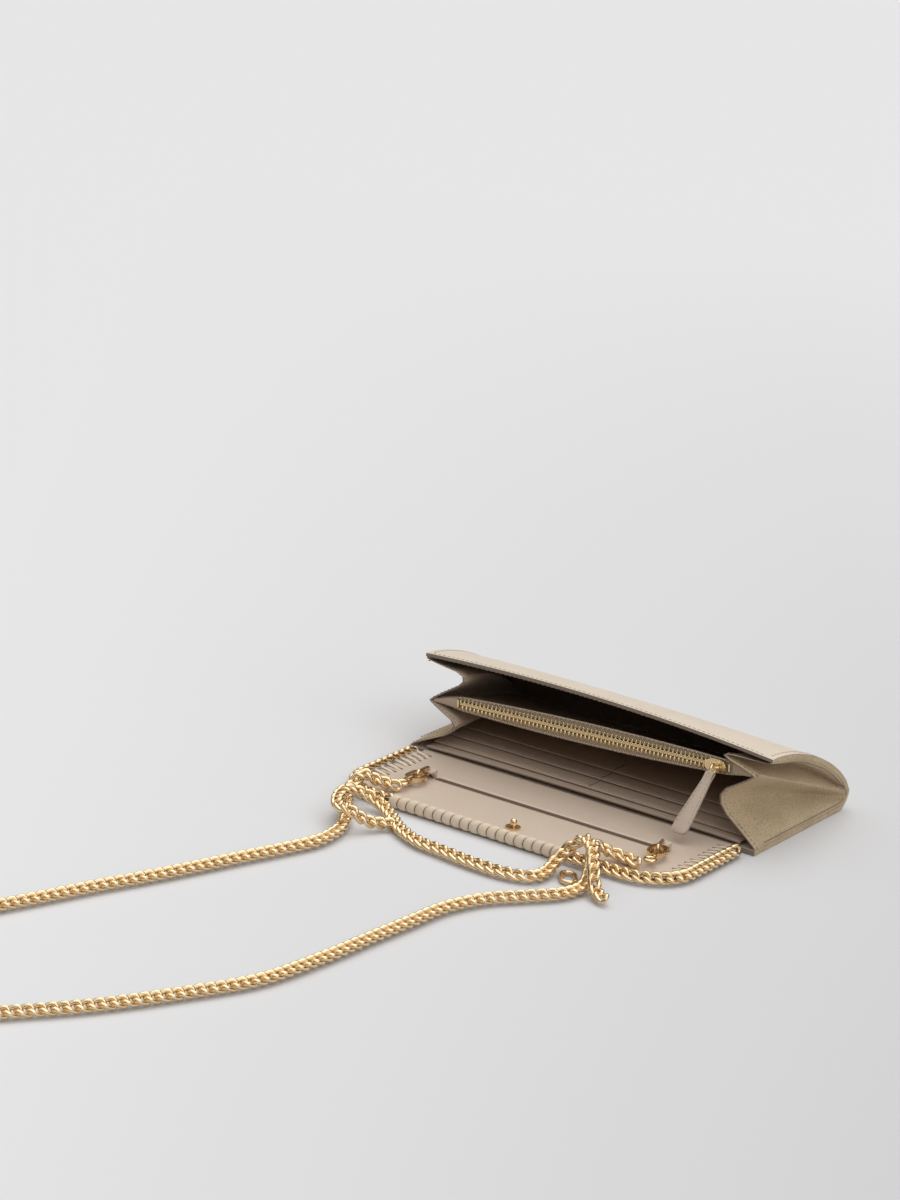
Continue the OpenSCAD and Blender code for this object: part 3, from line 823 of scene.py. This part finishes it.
def make_stops():
    """A small rounded clip across the teeth at each end of the zip."""
    for _, name in SIDES:
        low, high = corners(f"zip_stop_{name}")
        heap = Heap()
        clip = [on_zip((low.x + high.x) / 2, ZIP_Y - 0.3, z) for z in spread_of(-1.8, 1.8, 5)]
        tube(heap, clip, 0.6, 8, up=Vector((1, 0, 0)))
        piece = heap.make(f"zip_stop_{name}_clip", [PALE_GOLD], "zip_metal")
        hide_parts(f"zip_stop_{name}")
        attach(piece, "pocket")


def pull_half(w):
    """Half the pull's width at a distance from its ring: narrow by the ring, wide at its end."""
    return lerp(2.1, 4.0, min(1, max(0, (w - 4) / 22)))


def make_pull():
    """The leather pull: one strip folded through the ring, its two layers sewn together."""
    low, high = corners("pull_ring")
    centre, lean = (low + high) / 2, math.radians(36)
    along = Vector((-0.12, -math.sin(lean), -math.cos(lean))).normalized()
    out = Vector((0, -math.cos(lean), math.sin(lean)))
    wire, bend_r, end, tip_r, layer, thick = 2.5, 1.15, 33.5, 1.6, 0.5, 0.85
    tip = [(end - tip_r * (1 - math.cos(a)), layer) for a in spread_of(0.15, math.pi / 2, 6)]
    side_path = tip + [(w, layer) for w in spread_of(end - 3, 6, 14)] + [(4.4, 0.75)]
    bend = [(wire - bend_r * math.sin(math.radians(a)), bend_r * math.cos(math.radians(a)))
            for a in range(-10, 191, 20)]
    path = side_path + bend + [(w, -n) for w, n in reversed(side_path)]
    heap = Heap()
    rings = []
    for i, (w, n) in enumerate(path):
        ahead, behind = path[min(i + 1, len(path) - 1)], path[max(i - 1, 0)]
        heading = (along * (ahead[0] - behind[0]) + out * (ahead[1] - behind[1])).normalized()
        across = Vector((1, 0, 0)).cross(heading)
        rounding = max(0, w - (end - tip_r)) / tip_r
        half = pull_half(w) - 1.8 * (1 - math.sqrt(max(0, 1 - rounding ** 2)))
        middle = centre + along * w + out * n
        rings.append([middle + Vector((a * half, 0, 0)) + across * (b * thick / 2)
                      for a, b in ((-1, -0.5), (-0.93, -1), (0.93, -1), (1, -0.5),
                                   (1, 0.5), (0.93, 1), (-0.93, 1), (-1, 0.5))])
    heap.loft(rings, material=lambda i, k: 1 if k in (3, 7) else 0)
    piece = heap.make("pull_tab_leather", [LINING, EDGE], "nappa_lining")
    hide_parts("pull_tab")
    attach(piece, "pull")
    seam = Heap()
    for side in (-1, 1):
        line = [centre + along * w + out * (layer + thick / 2) + Vector((side * (pull_half(w) - 0.9), 0, 0))
                for w in spread_of(7, 30, 12)]
        stitches(seam, line, out, 2.2, 1.6, 0.15)
    thread = seam.make("pull_tab_stitching", [PALE_THREAD], "nappa_lining")
    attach(thread, "pull")
    for soft in (piece, thread):
        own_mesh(soft)


# ---- spine and flap -----------------------------------------------------------------------

def flat_leather(name, rows, end_material):
    """A sheet on the floor: suede below, lining above and a painted edge at its sides."""
    across = 37
    heap = Heap()
    rings = []
    for y in rows:
        half = flap_half_at(y)
        xs = spread_of(-half, half, across)
        rings.append([Vector((x, y, SHEET)) for x in xs] + [Vector((half + 0.25, y, SHEET / 2))]
                     + [Vector((x, y, 0)) for x in reversed(xs)] + [Vector((-half - 0.25, y, SHEET / 2))])
    heap.loft(rings, material=lambda i, k: 0 if k < across - 1 else (1 if across < k < 2 * across else 2),
              cap_material=end_material)
    return heap.make(name, [LINING, SUEDE, EDGE], "suede_outer")


def flap_half_at(y):
    """Half the width of spine and flap, which has rounded corners."""
    if y > CORNER_Y:
        return FLAP_HALF
    return FLAP_HALF - CORNER_R + math.sqrt(max(0, CORNER_R ** 2 - (CORNER_Y - y) ** 2))


def make_flap():
    """The leather of spine and flap: two flat sheets that meet at the spine's middle."""
    middle, fold = -SPINE_D / 2, -SPINE_D - 4
    spine = flat_leather("spine_leather", spread_of(middle, 1.2, 16), 0)
    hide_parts("spine_outer", "spine_lining")
    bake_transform(spine)
    rows = (spread_of(CORNER_Y - CORNER_R + 0.3, CORNER_Y, 14)[:-1] + spread_of(CORNER_Y, fold, 6)[:-1]
            + spread_of(fold, middle, 14))
    flap = flat_leather("flap_leather", rows, 2)
    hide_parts("flap_outer", "flap_lining")
    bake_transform(flap)


# the flat lace's section: along the roll and out from it
LACE_SECTION = ((-2.1, 0), (-1.95, 0.45), (-1.3, 0.72), (0, 0.85), (1.3, 0.72), (1.95, 0.45), (2.1, 0))


def make_laced_edge():
    """The rolled edge: a leather core wound with a flat lace, its turns a little aslant."""
    pitch, core_r = 4.9, ROLL_R - 0.1
    turns = int((ROLL_HIGH.x - ROLL_LOW.x - 3.7) / pitch)
    heap = Heap()
    core = [Vector((x, ROLL_Y, ROLL_Z)) for x in spread_of(ROLL_LOW.x, ROLL_HIGH.x, 12)]
    tube(heap, core, core_r, 24, material=1)
    for i in range(turns + 1):
        middle = (ROLL_LOW.x + ROLL_HIGH.x) / 2 + (i - turns / 2) * pitch
        rings = []
        for a in spread_of(0, 360, 33)[:-1]:
            across, up = math.cos(math.radians(a)), math.sin(math.radians(a))
            rings.append([Vector((middle + 0.8 * across + u, ROLL_Y + (core_r + r) * across,
                                  ROLL_Z + (core_r + r) * up)) for u, r in LACE_SECTION])
        heap.loft(rings, closed=True)
    piece = heap.make("laced_edge", [LACE, EDGE], "lace")
    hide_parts("flap_edge_roll", "flap_edge_lacing")
    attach(piece, "flap")


# the side lace's path over the leather's edge: how far past the edge and how far above the floor
LACE_PATH = ((-6.6, 2.2), (-6.2, 2.75), (-4.0, 2.95), (0.2, 3.05), (1.0, 3.4), (2.0, 4.4), (3.0, 4.6))
LACE_SKEW = 0.25                                # how far the lace leans for each millimetre out


def make_side_lacing():
    """Lace whipped over the leather's sides, holding the trim chain, with dark tubes painted as the shade
    in its slits.
    """
    for body, first, last in (("spine", -5.5, -SPINE_D + 3.5), ("flap", -SPINE_D - 3.5, CORNER_Y + 1)):
        heap = Heap()
        count = max(2, round((first - last) / LINK_PITCH) + 1)
        for side in (-1, 1):
            for y in spread_of(first, last, count):
                heap.loft([[Vector((side * (FLAP_HALF + d), y + LACE_SKEW * d + a, z + b)) for a, b in
                            ((-1.1, -0.3), (-0.9, 0.05), (0, 0.15), (0.9, 0.05), (1.1, -0.3))]
                           for d, z in LACE_PATH])
                # painted shade: a dark thread-coloured tube lies over each slit and stands in for the shade
                # inside it
                painted_slit_shade = [Vector((side * (FLAP_HALF + d), y + LACE_SKEW * d + 1.8, SHEET + 0.05))
                        for d in (-7.4, -4.2, -0.8)]
                tube(heap, painted_slit_shade, 0.38, 6, material=1)
        piece = heap.make(f"side_lacing_{body}", [LACE, THREAD], "lace")
        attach(piece, body)


def make_edge_strip():
    """The narrow strip sewn along the flap's fold, with a painted front edge."""
    low, high = corners("spine_edge")
    heap = Heap()
    rings = []
    for x in spread_of(low.x, high.x, 49):
        end = min(1, (high.x - abs(x)) / 2.5 + 0.25)
        top = lerp(SHEET + 0.5, high.z, math.sqrt(end))
        rings.append([Vector((x, y, z)) for y, z in
                      ((high.y, SHEET), (high.y, top - 0.5), (high.y - 0.6, top), (low.y + 0.7, top),
                       (low.y + 0.1, top - 0.35), (low.y, SHEET + 0.5), (low.y + 0.1, SHEET))])
    heap.loft(rings, material=lambda i, k: 1 if k in (4, 5) else 0, cap_material=1)
    piece = heap.make("edge_strip_leather", [LINING, EDGE], "nappa_lining")
    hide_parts("spine_edge")
    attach(piece, "flap")


def make_ring_tabs():
    """Small leather tabs with the hole that the strap's rings hang in."""
    for side, name in SIDES:
        high = corners(f"ring_tab_{name}")[1]
        heap = Heap()
        rings = []
        centre = Vector((side * RING_X, RING_HOLE_Y, 0))
        for a in spread_of(0, 360, 33)[:-1]:
            turn = Vector((math.cos(math.radians(a)), math.sin(math.radians(a)), 0))
            half, back = 3.0, high.y - RING_HOLE_Y
            reach = min(half / max(abs(turn.x), 1e-6), back / max(turn.y, 1e-6)) if turn.y > 0 else 0
            reach = min(reach, math.hypot(half, back)) if turn.y > 0 else lerp(half, 2.3, -turn.y)
            under = SHEET + 0.05 if turn.y > 0.35 else high.z - 1.4
            outer, hole = centre + turn * reach, centre + turn * 0.9
            rings.append([Vector((*hole.xy, high.z - 1.3)), Vector((*hole.xy, high.z - 0.1)),
                          Vector((*hole.lerp(outer, 0.15).xy, high.z)),
                          Vector((*hole.lerp(outer, 0.85).xy, high.z)), Vector((*outer.xy, high.z - 0.25)),
                          Vector((*outer.xy, under + 0.2)), Vector((*hole.lerp(outer, 0.85).xy, under))])
        heap.loft(rings, closed=True, material=lambda i, k: 1 if k == 5 else 0)
        piece = heap.make(f"ring_tab_{name}_leather", [LINING, EDGE], "nappa_lining")
        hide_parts(f"ring_tab_{name}")
        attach(piece, "flap")


# ---- CAD nodes ----------------------------------------------------------------------------

def paint_nodes():
    """Each CAD node gets the look of its material slot; those that aren't replaced are seen."""
    finish = {"gold": GOLD, "zip_metal": PALE_GOLD, "suede_outer": SUEDE, "nappa_lining": LINING,
              "gusset_suede": GUSSET, "lace": LACE, "tape": TAPE}
    slots = {row["node"]: row["material_slot"] for row in frame["record"]["subparts"]}
    for node, piece in frame["nodes"].items():
        piece.data.materials.clear()
        piece.data.materials.append(finish[slots[node]])


# ---- studio -------------------------------------------------------------------------------

def add_sun(name, place, strength, softness, colour=WHITE):
    """A broad, even light from the direction of place; softness is its width in degrees."""
    light = bpy.data.lights.new(name, "SUN")
    light.angle = math.radians(softness)
    light.energy = strength
    light.color = colour
    lamp = bpy.data.objects.new(name, light)
    lamp.location = place
    lamp.rotation_euler = (Vector((0, 0, 0)) - Vector(place)).to_track_quat("-Z", "Y").to_euler()
    bpy.context.scene.collection.objects.link(lamp)


def add_math(tree, operation, first, second):
    """A math node; each input is another node's output or a number."""
    node = tree.nodes.new("ShaderNodeMath")
    node.operation = operation
    node.use_clamp = True
    for socket, value in zip(node.inputs, (first, second)):
        if isinstance(value, (int, float)):
            socket.default_value = value
        else:
            tree.links.new(value, socket)
    return node.outputs["Value"]


def add_slope(tree, start, end):
    """Rises from 0 to 1 across the floor between two places."""
    place = tree.nodes.new("ShaderNodeTexCoord")
    way = Vector(end) - Vector(start)
    dot = tree.nodes.new("ShaderNodeVectorMath")
    dot.operation = "DOT_PRODUCT"
    dot.inputs[1].default_value = (*(way / way.length_squared), 0)
    tree.links.new(place.outputs["Object"], dot.inputs[0])
    return add_math(tree, "SUBTRACT", dot.outputs["Value"], Vector(start).dot(way) / way.length_squared)


def make_floor():
    """A plain pale floor with painted shade: its colour gets a little darker towards its near right."""
    half, drop = 9, 0.0002
    material, tree, shader = new_material("floor_with_painted_shade", (0.80, 0.80, 0.80), 0.9)
    across = add_slope(tree, (-0.38, 0.05), (0.01, 0.29))
    nearer = add_slope(tree, (-0.7, 1.05), (0.34, -0.70))
    # painted shade: the floor's colour darkens towards its near right, where the light falls off
    tone = add_ramp(tree, add_math(tree, "MULTIPLY", across, nearer),
                    [(0.0, (0.79, 0.79, 0.80)), (1.0, (0.59, 0.59, 0.60))])
    tree.links.new(tone, shader.inputs["Base Color"])
    shader.inputs["Specular IOR Level"].default_value = 0.1
    mesh = bpy.data.meshes.new("floor")
    mesh.from_pydata([(-half, -half, 0), (half, -half, 0), (half, half, 0), (-half, half, 0)], [],
                     [(0, 1, 2, 3)])
    mesh.materials.append(material)
    floor_piece = bpy.data.objects.new("floor", mesh)
    bpy.context.scene.collection.objects.link(floor_piece)
    floor_piece.location.z = -drop


def make_studio():
    """Soft light from above and behind, a weak fill from the right, and a sky dark at its rim."""
    make_floor()
    world = bpy.data.worlds.new("studio")
    world.use_nodes = True
    tree = world.node_tree
    sky = tree.nodes.new("ShaderNodeTexCoord")
    split = tree.nodes.new("ShaderNodeSeparateXYZ")
    tree.links.new(sky.outputs["Generated"], split.inputs["Vector"])
    greys = [(height, shade(WHITE, grey)) for height, grey in ((0.0, 0.16), (0.35, 0.14), (0.62, 1))]
    tree.links.new(add_ramp(tree, split.outputs["Z"], greys), tree.nodes["Background"].inputs["Color"])
    tree.nodes["Background"].inputs["Strength"].default_value = 0.75
    bpy.context.scene.world = world
    add_sun("key", (-0.25, 0.75, 1.6), 1.0, 55, (1.0, 0.98, 0.95))
    add_sun("fill", (0.9, -0.5, 1.4), 0.3, 60)
    add_sun("side", (1.0, -0.25, 0.45), 0.5, 60)
    bpy.context.scene.view_settings.view_transform = "Standard"


paint_nodes()
make_trims()
make_shell()
make_front_stitches()
for gusset_side, gusset_name in SIDES:
    make_gusset(gusset_side, gusset_name)
make_slots()
make_slot_stitches()
make_slot_divider()
for half_sign, half_name in HALVES:
    make_pocket_wall(half_sign, half_name)
    make_tape(half_sign, half_name)
for end_side, end_name in SIDES:
    make_zip_end(end_side, end_name)
make_teeth()
make_stops()
make_pull()
make_flap()
make_laced_edge()
make_side_lacing()
make_edge_strip()
make_ring_tabs()
make_studio()
